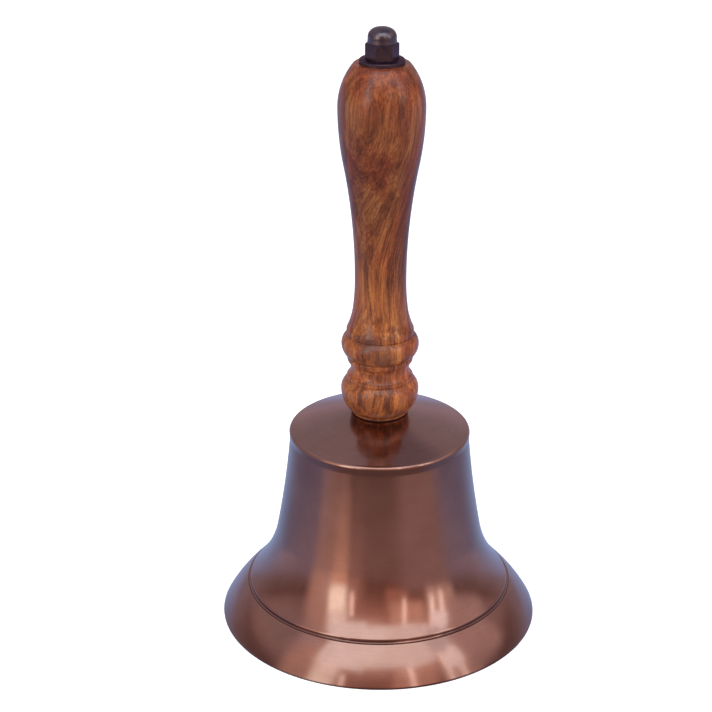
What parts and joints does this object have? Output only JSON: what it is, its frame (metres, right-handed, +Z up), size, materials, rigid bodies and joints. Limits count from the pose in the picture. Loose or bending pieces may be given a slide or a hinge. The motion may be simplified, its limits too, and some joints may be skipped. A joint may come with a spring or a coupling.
{
  "type": "handbell",
  "caption": "Handbell: flared metal bell with a grooved lip and domed crown, a turned wooden handle clamped by a cap nut, and a clapper swinging inside.",
  "frame": {"origin": "centre of the mouth plane, on the surface that the bell's rim stands on", "axes": "+Z up the bell's axis through the crown, handle and cap nut; +Y is the hinge axis of the clapper link, so the clapper's main swing is in the XZ plane; -Y is the front"},
  "size_m": [0.15, 0.15, 0.2872],
  "materials": {
    "bell_copper": "antique copper plate, turned and brushed round the axis, lacquered",
    "handle_wood": "reddish-brown hardwood with dark streaks, satin varnish",
    "dark_bronze": "oil-rubbed bronze, nearly black, satin",
    "zinc_steel": "zinc-plated steel, dull",
    "clapper_brass": "turned brass, slightly tarnished",
    "washer_leather": "dark punched leather"
  },
  "bodies": {
    "bell": {"bell_body": "bell_copper", "handle": "handle_wood", "cap_washer": "dark_bronze", "cap_nut": "dark_bronze", "seat_washer": "washer_leather", "tie_rod": "zinc_steel", "crown_washer": "zinc_steel", "lock_washer": "zinc_steel", "crown_nut": "zinc_steel"},
    "link": {"clapper_link": "zinc_steel"},
    "clapper": {"clapper_rod": "zinc_steel", "clapper_lock_nut": "zinc_steel", "clapper_ball": "clapper_brass"}
  },
  "joints": [
    {"name": "link_swing", "type": "hinge", "parent": "bell", "child": "link", "pos_m": [0, 0, 0.07665], "axis": [0, 1, 0], "range_deg": [-37, 37]},
    {"name": "clapper_side_swing", "type": "hinge", "parent": "link", "child": "clapper", "pos_m": [0, 0, 0.06315], "axis": [1, 0, 0], "range_deg": [-12, 12]}
  ]
}
